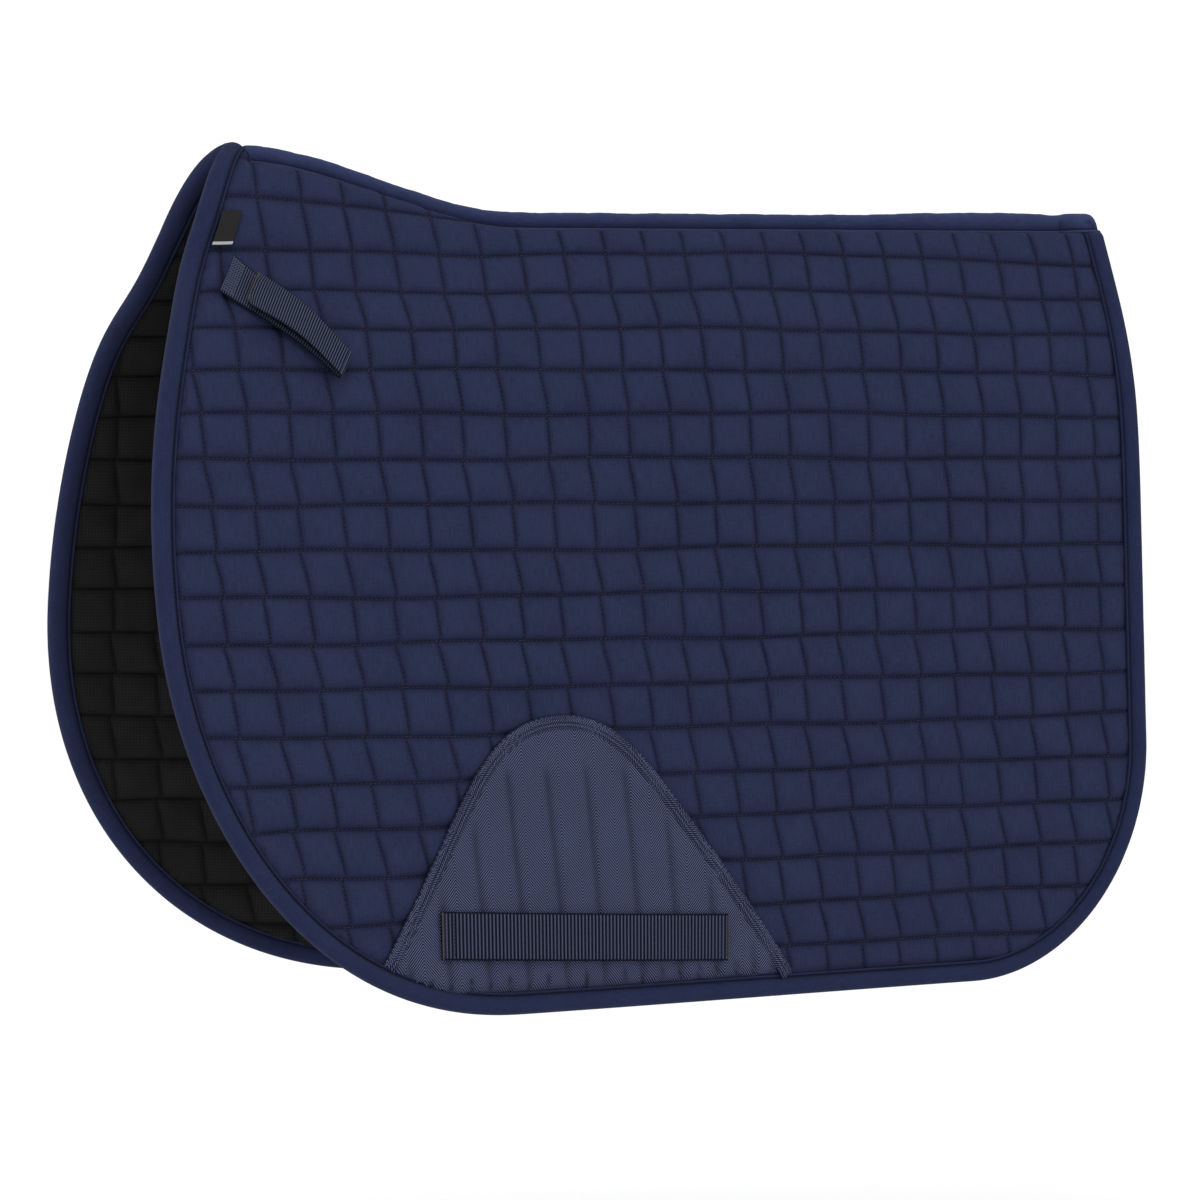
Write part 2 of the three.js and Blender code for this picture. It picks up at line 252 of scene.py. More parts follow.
def edge_distance(x, v):
    """How far a cloth point lies inside the bound edge and the spine seam."""
    h = 0.5
    s = np.clip(v, 0, DROP - 1)
    up = np.clip(-v / arch_length(x), 0, 1.2)
    front = np.where(v < 0, crown_front(np.minimum(up, 1)), front_edge(s))
    lean = (front_edge(s + h) - front_edge(np.maximum(s - h, 0))) / (2 * h)
    lean = np.where(v < 0, 0.45, lean)
    rear = rear_edge(s)
    rear_lean = (rear_edge(s + h) - rear_edge(np.maximum(s - h, 0))) / (2 * h)
    d = np.minimum((x - front) / np.hypot(1, lean), (rear - x) / np.hypot(1, rear_lean))
    return np.minimum(d, DROP - v), arch_length(x) * (1 - up)


# ======== quilting pattern ========
def quilt(p, q):
    """Cloth coordinates of column p and row q, whole numbers on the stitch lines."""
    x0 = CELL * p + 3
    wander = np.interp(x0, (0, 150, 340, 450, 510, 600), (-2.6, 3.1, -1.5, 2, 5, 8))
    v = FIRST_ROW + CELL * (q - 1) + wander * np.exp(-0.55 * np.maximum(q - 1, 0))
    v = v + 0.8 * np.sin(x0 / 57 + 2.1 * q) + 0.5 * np.sin(x0 / 23 + 1.3 * q)
    v = v + 5 * smooth((v - 380) / 60) * smooth((-20 - x0) / 60)
    low = np.maximum(v, 0)
    x = x0 + 2 - 4 * smooth(low / 120) + 19 * (low / 500) ** 2 + 0.7 * np.sin(low / 41 + 1.7 * p)
    return x + slant(q), v


def row_lean(row):
    return 1 + 3 * smooth(row / 13) + np.where(row % 2 == 0, 1.8, -1.8)


def slant(q):
    """Rows of cells lean back going down, every second row the more."""
    row = np.floor(q + 1e-6)
    within = q - row
    on_line = np.abs(within) < 1e-6
    step = (row_lean(row - 1) - row_lean(row)) / 4
    return np.where(on_line, step, (within - 0.5) * row_lean(row))


def to_line(p):
    return np.abs(p - np.round(p)) * CELL


# ======== mesh helpers ========
def finish_mesh(name, points, faces, material, uv=None, groove_shade=None):
    mesh = bpy.data.meshes.new(name)
    mesh.from_pydata(points.tolist(), [], faces.tolist() if hasattr(faces, "tolist") else faces)
    mesh.update()
    piece = bpy.data.objects.new(name, mesh)
    bpy.context.scene.collection.objects.link(piece)
    mesh.materials.append(material)
    if uv is not None:
        corner = np.zeros(len(mesh.loops), np.int32)
        mesh.loops.foreach_get("vertex_index", corner)
        layer = mesh.uv_layers.new(name="cloth")
        layer.data.foreach_set("uv", uv[corner].astype(np.float32).ravel())
    # painted shade of seams, creases and rib gaps, mixed into the colour by the materials
    if groove_shade is not None:
        shade = mesh.attributes.new("groove_shade", "FLOAT", "POINT")
        shade.data.foreach_set("value", groove_shade.astype(np.float32))
    mesh.polygons.foreach_set("use_smooth", [True] * len(mesh.polygons))
    return piece


def volume(points, quads):
    a, b, c, d = (points[quads[:, k]] for k in range(4))
    first = np.einsum("ij,ij->i", a, np.cross(b, c))
    return (first + np.einsum("ij,ij->i", a, np.cross(c, d))).sum()


def closed_grid(name, outer, inner, keep, material, uv, groove_shade):
    """A closed body between two faces of one grid, over the cells marked in keep."""
    index = np.arange(outer.shape[0] * outer.shape[1]).reshape(outer.shape[:2])
    count = index.size
    a, b, c, d = index[:-1, :-1], index[1:, :-1], index[1:, 1:], index[:-1, 1:]
    top = np.stack([a, b, c, d], -1)[keep]
    faces = [top, top[:, ::-1] + count]
    padded = np.pad(keep, 1)
    beside = (
        (a, b, padded[1:-1, :-2]),
        (b, c, padded[2:, 1:-1]),
        (c, d, padded[1:-1, 2:]),
        (d, a, padded[:-2, 1:-1]),
    )
    for start, end, taken in beside:
        edge = keep & ~taken
        u, w = start[edge], end[edge]
        faces.append(np.stack([w, u, u + count, w + count], -1))
    quads = np.concatenate(faces)
    points = np.concatenate([outer.reshape(-1, 3), inner.reshape(-1, 3)])
    used, place = np.unique(quads, return_inverse=True)
    quads, points = place.reshape(quads.shape), points[used]
    if volume(points, quads) < 0:
        quads = quads[:, ::-1]
    uv = np.concatenate([uv.reshape(-1, 2)] * 2)[used]
    groove_shade = np.concatenate([groove_shade.ravel()] * 2)[used]
    return finish_mesh(name, points, quads, material, uv, groove_shade)


def whole_cells(inside):
    """The grid's cells that have all four corners inside."""
    return inside[:-1, :-1] & inside[1:, :-1] & inside[:-1, 1:] & inside[1:, 1:]


def sweep(name, rings, material, uv, groove_shade):
    """A closed body with flat ends, from one line of points for each corner of its section."""
    rings, uv, groove_shade = (np.stack(a, 1) for a in (rings, uv, groove_shade))
    n, m = rings.shape[:2]
    index = np.arange(n * m).reshape(n, m)
    a, b = index[:-1], index[1:]
    c, d = np.roll(b, -1, 1), np.roll(a, -1, 1)
    quads = np.stack([a, b, c, d], -1).reshape(-1, 4)
    points = rings.reshape(-1, 3)
    flip = volume(points, quads) < 0
    if flip:
        quads = quads[:, ::-1]
    faces = quads.tolist()
    ends = [index[0].tolist(), index[-1][::-1].tolist()]
    faces += [end[::-1] if flip else end for end in ends]
    return finish_mesh(name, points, faces, material, uv.reshape(-1, 2), groove_shade.ravel())


def stitches(name, centre, along, out, material, length=2.3, thick=0.55, square=True):
    """Separate thread stitches, each a small capsule lying along its seam.

    centre, along and out are lists of arrays, one array for each seam. With square, out is
    turned to be square to along.
    """
    centre, along, out = (np.concatenate(a) for a in (centre, along, out))
    along = unit(along)
    if square:
        out = out - along * np.einsum("ij,ij->i", out, along)[:, None]
    out = unit(out)
    sides, rings = 5, ((-0.5, 0.35, -0.22), (-0.28, 0.85, 0), (0.28, 0.85, 0), (0.5, 0.35, -0.22))
    across = np.cross(along, out)
    turn = np.arange(sides) * 2 * math.pi / sides
    rows = []
    for place, girth, dip in rings:
        middle = centre + along * place * length / 1000 + out * (dip + STITCH_RISE) * thick / 1000
        ring = np.cos(turn)[:, None, None] * out + np.sin(turn)[:, None, None] * across
        rows.append(middle + ring * girth * thick / 2000)
    points = np.stack(rows).transpose(2, 0, 1, 3).reshape(-1, 3)
    local = np.arange(len(rings) * sides).reshape(len(rings), sides)
    a, b = local[:-1], local[1:]
    quads = np.stack([a, b, np.roll(b, -1, 1), np.roll(a, -1, 1)], -1).reshape(-1, 4)
    if volume(points[: local.size], quads) < 0:
        quads = quads[:, ::-1]
        caps = (local[0].tolist(), local[-1][::-1].tolist())
    else:
        caps = (local[0][::-1].tolist(), local[-1].tolist())
    faces = []
    for k in range(len(centre)):
        base = k * local.size
        faces += (quads + base).tolist()
        faces += [[base + i for i in cap] for cap in caps]
    return finish_mesh(name, points, faces, material)


def seam_stitches(name, side, x, v, o, material, pitch, foot=None, keep=None, **look):
    """Stitches at an even pitch along one or more lines of cloth points."""
    centres, alongs, outs = [], [], []
    for k in range(len(x)):
        line = cloth(side, x[k], v[k], o[k], foot=foot, seam=0)
        lifted = cloth(side, x[k], v[k], o[k] + 1, foot=foot, seam=0)
        run = run_along(line)
        even = np.arange(pitch / 2000, run[-1], pitch / 1000)
        middle = along_run(even, run, line)
        ahead = along_run(even + 0.0008, run, line)
        out = along_run(even, run, lifted - line)
        good = np.linalg.norm(ahead - middle, axis=1) > 1e-6
        if keep is not None:
            good &= np.interp(even, run, keep[k].astype(float)) > 0.5
        centres.append(middle[good])
        alongs.append((ahead - middle)[good])
        outs.append(out[good])
    return stitches(name, centres, alongs, outs, material, **look)


# ======== materials ========
class Look:
    """A small builder for one procedural material."""

    def __init__(self, name, roughness, sheen, specular):
        self.material = bpy.data.materials.new(name)
        self.material.use_nodes = True
        self.tree = self.material.node_tree
        self.shader = self.tree.nodes["Principled BSDF"]
        self.set("Roughness", roughness)
        self.set("Sheen Weight", sheen)
        self.set("Sheen Roughness", 0.5)
        self.set("Specular IOR Level", specular)

    def set(self, socket, value):
        self.shader.inputs[socket].default_value = value

    def node(self, kind, values=(), **settings):
        made = self.tree.nodes.new("ShaderNode" + kind)
        for key, value in settings.items():
            setattr(made, key, value)
        for key, value in dict(values).items():
            if isinstance(value, bpy.types.NodeSocket):
                self.tree.links.new(value, made.inputs[key])
            else:
                made.inputs[key].default_value = value
        return made.outputs

    def math(self, operation, a, b=0.0, clamp=False):
        return self.node("Math", {0: a, 1: b}, operation=operation, use_clamp=clamp)[0]

    def times(self, a, b, clamp=False):
        return self.math("MULTIPLY", a, b, clamp)

    def plus(self, a, b):
        return self.math("ADD", a, b)

    def mix(self, share, a, b):
        a, b = (c if isinstance(c, bpy.types.NodeSocket) else (*c, 1) for c in (a, b))
        return self.node("Mix", {0: share, 6: a, 7: b}, data_type="RGBA")[2]

    def place(self, across=1.0, along=1.0):
        """Cloth coordinates in metres, scaled each way."""
        uv = self.node("UVMap", uv_map="cloth")[0]
        scale = (across, along, 1)
        return self.node("VectorMath", {0: uv, 1: scale}, operation="MULTIPLY")[0]

    def noise(self, vector, scale, detail=3.0):
        values = {"Vector": vector, "Scale": scale, "Detail": detail}
        return self.node("TexNoise", values)[0]

    def wave(self, coordinate, pitch):
        """A sine from 0 to 1 along a coordinate in metres."""
        turned = self.times(coordinate, 2 * math.pi / pitch)
        made = self.math("SINE", turned)
        return self.node("Math", {0: made, 1: 0.5, 2: 0.5}, operation="MULTIPLY_ADD")[0]

    def cloth_axes(self):
        """The cloth coordinates in metres, whole and one by one."""
        where = self.place()
        axes = self.node("SeparateXYZ", {0: where})
        return where, axes[0], axes[1]

    # Painted shade stored with each mesh: seams, creases and rib gaps.
    def groove_shade(self):
        return self.node("Attribute", attribute_name="groove_shade")["Fac"]

    def seam(self, colour, depth, dark):
        """The colour, with painted shade mixed in where the cloth is stitched down."""
        return self.mix(self.times(self.groove_shade(), depth, clamp=True), colour, dark)

    def finish(self, colour, height=None, distance=0.0003, strength=0.6):
        self.tree.links.new(colour, self.shader.inputs["Base Color"])
        if height is not None:
            values = {"Height": height, "Distance": distance, "Strength": strength}
            bump = self.node("Bump", values)[0]
            self.tree.links.new(bump, self.shader.inputs["Normal"])
        return self.material


def woven_cotton(name, light, dark, seam, thread=WEAVE_PITCH, sheen=0.0, rough=0.9):
    """Plain weave with streaky yarns, worn patches and painted shade in the stitched grooves."""
    look = Look(name, rough, sheen, 0.05)
    where, x, v = look.cloth_axes()
    weave = look.times(look.wave(x, thread), look.wave(v, thread))
    streak = look.noise(look.place(900, 110), 1.0, 4)
    slub = look.noise(look.place(160, 1200), 1.0, 3)
    patchy = look.noise(where, 26.0, 4)
    yarn = look.plus(look.times(streak, 0.55), look.times(slub, 0.45))
    tone = look.plus(look.times(yarn, 1.5), look.times(patchy, 0.5))
    tone = look.math("SUBTRACT", tone, 0.5, clamp=True)
    colour = look.mix(tone, dark, light)
    # painted shade: the seam colour is mixed in along seams and the bound edge
    colour = look.seam(colour, 0.85, seam)
    height = look.plus(weave, look.times(yarn, 1.6))
    return look.finish(colour, height, 0.00016, 0.7)


def mesh_lining(name):
    """Black warp-knit lining with rows of small holes."""
    look = Look(name, 0.85, 0.0, 0.08)
    where, x, v = look.cloth_axes()
    holes = look.times(look.wave(x, HOLE_PITCH), look.wave(v, HOLE_PITCH))
    holes = look.math("POWER", holes, 1.5)
    cloudy = look.noise(where, 40.0, 4)
    colour = look.mix(look.times(cloudy, 0.9), (0.0065, 0.006, 0.0063), (0.019, 0.0172, 0.0178))
    colour = look.mix(look.times(holes, 0.8), colour, (0.0015, 0.0014, 0.0015))
    # painted shade along the quilting seams
    colour = look.seam(colour, 0.7, (0.001, 0.001, 0.001))
    height = look.plus(look.times(holes, -1.0), look.times(cloudy, 0.5))
    return look.finish(colour, height, 0.0003, 0.7)


def herringbone(name):
    """Twill in upright bands whose lines meet in chevrons."""
    look = Look(name, 0.7, 0.0, 0.08)
    where, x, v = look.cloth_axes()
    zigzag = look.math("PINGPONG", x, 0.0135)
    line = look.wave(look.plus(v, look.times(zigzag, 1.15)), 0.0021)
    yarn = look.wave(x, 0.00085)
    cloudy = look.noise(where, 30.0, 4)
    speck = look.noise(look.place(900, 900), 1.0, 3)
    tone = look.plus(look.times(line, 1.25), look.times(yarn, 0.12))
    tone = look.plus(tone, look.plus(look.times(speck, 0.3), look.times(cloudy, 0.2)))
    tone = look.math("SUBTRACT", tone, 0.6, clamp=True)
    colour = look.mix(tone, (0.001, 0.002, 0.009), (0.098, 0.118, 0.22))
    # painted shade in the channels, the pleats, at the hem and in the band's seams
    colour = look.seam(colour, 1.0, (0.004, 0.005, 0.014))
    height = look.plus(line, look.times(yarn, 0.3))
    return look.finish(colour, height, 0.0004, 0.8)


def webbing(name, dark, light, gain=1.5, cut=0.93):
    """Ribbed webbing: each rib is crossed by fine slanting yarns; painted shade darkens the gaps
    between ribs and the edges.
    """
    look = Look(name, 0.7, 0.0, 0.06)
    _, x, v = look.cloth_axes()
    yarns = look.wave(look.plus(v, look.times(x, 0.5)), 0.0011)
    speck = look.noise(look.place(1100, 1100), 1.0, 3)
    # painted shade between the ribs, turned round so that the rib crests come out light
    ribs = look.math("SUBTRACT", 1.0, look.groove_shade(), clamp=True)
    tone = look.plus(look.times(ribs, gain), look.times(yarns, 0.35))
    tone = look.plus(tone, look.times(speck, 0.6))
    tone = look.math("SUBTRACT", tone, cut, clamp=True)
    colour = look.mix(tone, dark, light)
    height = look.plus(yarns, look.times(speck, 0.7))
    return look.finish(colour, height, 0.00025, 0.6)


def plain_thread(name, light, dark):
    look = Look(name, 0.7, 0.0, 0.1)
    where = look.node("TexCoord")["Object"]
    tone = look.noise(where, 400.0, 3)
    return look.finish(look.mix(tone, dark, light), tone, 0.0002, 0.5)


def pile(name, light, dark, scale):
    """Hook or loop fastener: a dense field of tiny tufts."""
    look = Look(name, 0.95, 0.0, 0.05)
    where = look.node("TexCoord")["Object"]
    tufts = look.node("TexVoronoi", {"Vector": where, "Scale": scale})["Distance"]
    colour = look.mix(look.times(tufts, 1.4, clamp=True), light, dark)
    return look.finish(colour, look.math("SUBTRACT", 1.0, tufts), 0.0007, 1.0)


def satin(name, light, dark):
    look = Look(name, 0.6, 0.0, 0.15)
    rib = look.wave(look.cloth_axes()[2], 0.0005)
    fleck = look.noise(look.place(1500, 1500), 1.0, 2)
    tone = look.times(look.plus(rib, fleck), 0.5)
    return look.finish(look.mix(tone, dark, light), rib, 0.0001, 0.5)


# The third colour of each cotton is the painted shade of its seams and edges.
NAVY = woven_cotton(
    "navy_cotton", (0.027, 0.0335, 0.082), (0.0125, 0.0160, 0.0410), (0.003, 0.003, 0.007)
)
TAPE = woven_cotton(
    "navy_tape", (0.021, 0.0285, 0.077), (0.009, 0.0125, 0.036), (0.002, 0.002, 0.006),
    TAPE_PITCH, 0.02, 0.8,
)
# painted light: a lighter copy of the tape for the spine, whose faces turn up towards the light
LIT_SPINE_TAPE = woven_cotton(
    "spine_tape", (0.042, 0.055, 0.14), (0.019, 0.026, 0.07), (0.002, 0.002, 0.006),
    TAPE_PITCH, 0.02, 0.8,
)
LINING = mesh_lining("mesh_lining")
TWILL = herringbone("herringbone_twill")
KEEPER_WEB = webbing("keeper_webbing", (0.002, 0.0035, 0.01), (0.055, 0.069, 0.113), 2.0, 1.4)
STRAP_WEB = webbing("strap_webbing", (0.001, 0.002, 0.006), (0.054, 0.069, 0.114))
THREAD = plain_thread("quilting_thread", (0.042, 0.046, 0.08), (0.017, 0.019, 0.038))
PALE_THREAD = plain_thread("strap_thread", (0.1, 0.12, 0.18), (0.045, 0.055, 0.09))
DARK_THREAD = plain_thread("binding_thread", (0.022, 0.026, 0.055), (0.008, 0.01, 0.024))
SCORCHED = plain_thread("heat_cut_end", (0.1, 0.072, 0.055), (0.03, 0.025, 0.027))
HOOKS = pile("hook_tape", (0.012, 0.013, 0.02), (0.003, 0.003, 0.005), 900.0)
LOOPS = pile("loop_tape", (0.016, 0.017, 0.026), (0.004, 0.004, 0.007), 1300.0)
LABEL_BLACK = satin("label_black", (0.012, 0.012, 0.013), (0.004, 0.004, 0.0045))
LABEL_BAR = satin("label_bar", (0.45, 0.46, 0.48), (0.2, 0.2, 0.22))


# ======== quilted panels ========
def panel_grid():
    p = (np.arange(-5, 23)[:, None] + CELL_STEPS).ravel()
    q = (np.arange(-3, 19)[:, None] + CELL_STEPS).ravel()
    return np.meshgrid(p, q, indexing="ij")


def sunk(x, v):
    """Depth that keeps the panels level with the foot of the upright spine seam."""
    a, b, low, _ = arch(x)
    up = np.clip(-v / arch_length(x), 0, 1)
    f = low + (np.arccos(0.3 / a) - low) * up
    fall = b * (1 - np.sin(f)) + 0.8 * np.maximum(v, 0)
    need = KEEL_FOOT + 0.05 * np.maximum(arch_length(x) * (1 - up) - KEEL_HALF, 0) - fall
    upright = a * np.sin(f) / np.hypot(a * np.sin(f), b * np.cos(f))
    return need / np.maximum(upright, 0.45)


def pillow(p, q, x, v):
    """Depth below the full loft, and how much of the shade of a seam a point has."""
    row, column = to_line(q), to_line(p)
    deep_row = np.exp(-row / 2.5)
    deep_column = 0.75 * np.exp(-column / 2.2)
    seam = deep_row + deep_column - deep_row * deep_column
    across, down = (np.sin(math.pi * np.abs(t - np.floor(t))) for t in (p, q))
    belly = 1 - across * down
    edge, spine = edge_distance(x, v)
    hem = np.where(edge < BOUND, 1, np.exp(-(edge - BOUND) / 2.8))
    depth = -STITCH_SINK * seam + 0.8 * belly
    low = sunk(x, v) + 0.4 * depth
    front = hem * (x < 300)
    low = low * (1 - front) - 20 * front
    depth = depth + (3.9 - depth) * hem
    depth = (depth + low + np.sqrt((depth - low) ** 2 + 1)) / 2
    # painted shade along the quilting seams, the bound edge and the foot of the spine seam
    shade = np.maximum(0.9 * np.exp(-((row / 1.5) ** 1.4)), 0.85 * np.exp(-((column / 1.2) ** 1.4)))
    shade = np.maximum(shade, 0.25 * np.exp(-row / 3.5))
    shade = np.maximum(shade, 0.95 * np.exp(-np.maximum(edge - BOUND, 0) / 1.5))
    shade = np.maximum(shade, 0.95 * np.exp(-np.maximum(spine - KEEL_HALF - 0.5, 0) / 1.3))
    return depth, shade, edge, spine


def quilted_panels():
    p, q = panel_grid()
    x, v = quilt(p, q)
    depth, shade, edge, spine = pillow(p, q, x, v)
    keep = whole_cells((edge > 4) & (spine > 0.5))
    loft = 0.35 * np.sin(x / 31 + 2 * np.sin(v / 47)) * np.sin(v / 29 + 1.1)
    uv = np.stack([x, v], -1) / 1000
    for side, tag in SIDES:
        outer = cloth(side, x, v, -depth + loft * (depth < 3))
        middle = cloth(side, x, v, np.minimum(MIDDLE, -depth - 0.7))
        inner = cloth(side, x, v, np.minimum(-10.2 + 0.95 * depth, -depth - 1.6))
        top = closed_grid(f"quilted_cloth_{tag}", outer, middle, keep, NAVY, uv, shade)
        nodes = ("flap_cloth", "flap_wadding", "crown_cloth", "crown_wadding")
        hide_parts(*(f"{node}_{tag}" for node in nodes))
        under = cloth(side, x, v, np.minimum(MIDDLE, -depth - 0.7) - 0.15)
        back = closed_grid(f"quilted_lining_{tag}", inner, under, keep, LINING, uv, shade)
        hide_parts(f"flap_lining_{tag}", f"crown_lining_{tag}")
        for piece in (top, back):
            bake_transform(piece)
            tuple(BEND_START)
            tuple(BEND_END)


def quilt_stitches():
    """Rows and columns of quilting thread, left out where something covers them."""
    fine = np.linspace(-4.6, 22, 1400)
    rows = [(fine, np.full_like(fine, float(j))) for j in range(-1, 18)]
    down = np.linspace(-2, 18, 1200)
    columns = [(np.full_like(down, float(i)), down) for i in range(-4, 22)]
    for name, lines, look in (
        ("row", rows, {"thick": 0.62, "pitch": 3.2}),
        ("column", columns, {"thick": 0.45, "pitch": 2.9, "length": 2.0}),
    ):
        x, v, o, keep = [], [], [], []
        for p, q in lines:
            across, down_to = quilt(p, q)
            depth, _, edge, spine = pillow(p, q, across, down_to)
            covered = (down_to > PATCH_TOP + 3) & (
                np.abs(across - patch_middle(down_to)) < patch_half(down_to) - 3
            )
            keep.append((edge > 14.8) & (spine > 12) & ~covered)
            x.append(across)
            v.append(down_to)
            o.append(-depth + 0.1)
        for side, tag in SIDES:
            made = seam_stitches(
                f"quilt_{name}_stitches_{tag}", side, x, v, o, THREAD, keep=keep, **look
            )
            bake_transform(made)
            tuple(BEND_START)
            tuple(BEND_END)


# ======== edge binding ========
BINDING = (
    (14.2, -3.6), (14.5, -2.4), (14.3, -1.5), (13.7, -1.15), (13.1, -1.5), (12.7, -2.2),
    (12.3, -2.5), (11.9, -2.2), (11.2, -1.3), (10.0, -0.1), (8.2, 0.75), (6.0, 1.2), (4.0, 1.15),
    (2.3, 0.45), (1.0, -0.9), (0.3, -2.8), (0.0, -5.0), (0.3, -7.2), (1.0, -9.1), (2.3, -10.4),
    (4.0, -11.0), (6.0, -11.1), (8.2, -10.7), (10.0, -9.9), (11.2, -8.8), (11.9, -8.0),
    (12.3, -7.7), (12.7, -7.9), (13.1, -8.5), (13.7, -8.8), (14.3, -8.5), (14.5, -7.8),
    (14.2, -6.8), (9.0, -6.9), (3.4, -8.6), (1.7, -5.0), (3.4, -1.5), (9.0, -3.4),
)
STITCH_LINE = 12.3
BINDING_TOP, BINDING_FOOT = 1.2, -11.1  # the section's heights


def spine_end_drop(low):
    """How far the whole binding drops where it meets the rear end of the spine."""
    return 2.6 * smooth(low / KEEL_FOOT)


def folds(run, amount, seed):
    """Smooth seeded unevenness along a line, in millimetres."""
    made = 0 * run
    chance = np.random.default_rng(seed)
    for length in (61, 34, 19, 11, 7):
        made += np.sin(run / length * 2 * math.pi + chance.uniform(0, 6.3)) * (length / 60) ** 0.5
    return amount * made / 2


def edge_binding():
    bulge = folds(RUN, 0.35, 3)
    tight = smooth((OUTLINE[:, 1] - 330) / 90)
    pucker = folds(RUN * 2.3, 0.28, 5) * tight
    low = np.maximum(sunk(FOOT, OUTLINE[:, 1]), 0) * (OUTLINE[:, 0] > 300)
    for side, tag in SIDES:
        rings, uv, shade = [], [], []
        along = 0
        for k, (t, o) in enumerate(BINDING):
            roll = math.exp(-(((t - 6) / 4) ** 2))
            x, v = inside_edge(t)
            out = o + (bulge + pucker) * roll * (1 if o > MIDDLE else -1)
            raised = (o - BINDING_FOOT) / (BINDING_TOP - BINDING_FOOT)
            out = out - low * raised - spine_end_drop(low)
            rings.append(cloth(side, x, v, out, foot=FOOT, seam=0))
            along += math.dist(BINDING[k], BINDING[k - 1]) if k else 0
            uv.append(np.stack([np.full_like(RUN, along), RUN], -1) / 1000)
            # painted shade in the stitch groove of the binding
            shade.append(np.full_like(RUN, math.exp(-((abs(t - STITCH_LINE - 0.1) / 0.75) ** 2))))
        tape = sweep(f"edge_binding_{tag}", rings, TAPE, uv, shade)
        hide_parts(f"flap_binding_{tag}")
        if side == -1:
            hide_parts("crown_binding_front", "crown_binding_rear")
        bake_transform(tape)
        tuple(BEND_START)
        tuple(BEND_END)
        x, v = inside_edge(STITCH_LINE)
        lines = [-2.35 - low * 0.71 - spine_end_drop(low)]
        made = seam_stitches(
            f"binding_stitches_{tag}", side, [x], [v], lines, DARK_THREAD,
            foot=FOOT, pitch=3.0, thick=0.6,
        )
        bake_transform(made)
        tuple(BEND_START)
        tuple(BEND_END)


# ======== spine ========
KEEL = (
    (6.6, -13.1), (7.4, -12.4), (7.3, -11.7), (6.6, -11.2), (5.8, -11.1), (5.1, -10.9),
    (4.8, -10.5), (5.0, -9.8), (5.7, -8.6), (6.2, -6.6), (6.2, -4.4), (5.7, -2.5), (4.5, -1.2),
    (2.7, -0.6), (0.9, -0.4),
)


def keel_section():
    """Half the upright spine seam's outline, mirrored: (y, height above the spine line)."""
    return list(KEEL) + [(-y, z) for y, z in reversed(KEEL)] + [(-4.0, -12.7), (4.0, -12.7)]


def keel_ring(x, y, z):
    """One line of the keel: y to the side, z above the spine line."""
    point = np.stack([x, y + 0 * x, ridge(x) + z], -1)
    return to_frame(1, point)


def keel_shade(y, z):
    return math.exp(-(((z + 10.6) / 0.7) ** 2)) if abs(y) < 5.6 else 0.0


def spine_tapes():
    x = np.linspace(3.5, REAR - 3, 210)
    bulge, sway = folds(x, 0.3, 11), folds(x, 0.35, 17)
    ends = np.minimum(smooth((x - 3.5) / 4), smooth((REAR - 3 - x) / 3))
    rings, uv, shade = [], [], []
    run = 0
    section = keel_section()
    # the ridge stands higher towards the rear and dips just before its cap
    rise = 2.2 * smooth((x - 430) / 110) - 1.6 * np.exp(-(((x - 606) / 9) ** 2))
    for k, (y, z) in enumerate(section):
        upper = smooth((z + 11) / 7)
        wide = y * (0.8 + 0.2 * ends) * (1 + 0.05 * bulge) + sway * upper
        rings.append(keel_ring(x, wide, z + (rise + bulge - 0.9 * (1 - ends)) * upper))
        run += math.dist(section[k], section[k - 1]) if k else 0
        uv.append(np.stack([np.full_like(x, run), x], -1) / 1000)
        shade.append(np.full_like(x, keel_shade(y, z)))
    tape = sweep("spine_binding", rings, LIT_SPINE_TAPE, uv, shade)
    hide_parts("spine_tape_outer")
    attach(tape, "spine")
    spine_cap(section)
    inner = [(-11, -13.4), (-10.5, -13.9), (-7, -14.2), (0, -14.3), (7, -14.2), (10.5, -13.9),
             (11, -13.4), (0, -13.4)]
    x = np.linspace(8, REAR - 15, 170)
    narrow = 0.7 + 0.3 * smooth(x / WITHERS_RUN)
    rings = [over(1, x, y * narrow, o + folds(x, 0.15, 13)) for y, o in inner]
    uv = [np.stack([np.full_like(x, float(y)), x], -1) / 1000 for y, _ in inner]
    under = sweep("spine_inner_tape", rings, TAPE, uv, [0 * x for _ in inner])
    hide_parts("spine_tape_inner")
    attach(under, "spine")


CAP_START, CAP_LENGTH, CAP_FLARE = REAR - 26, 27.3, 14


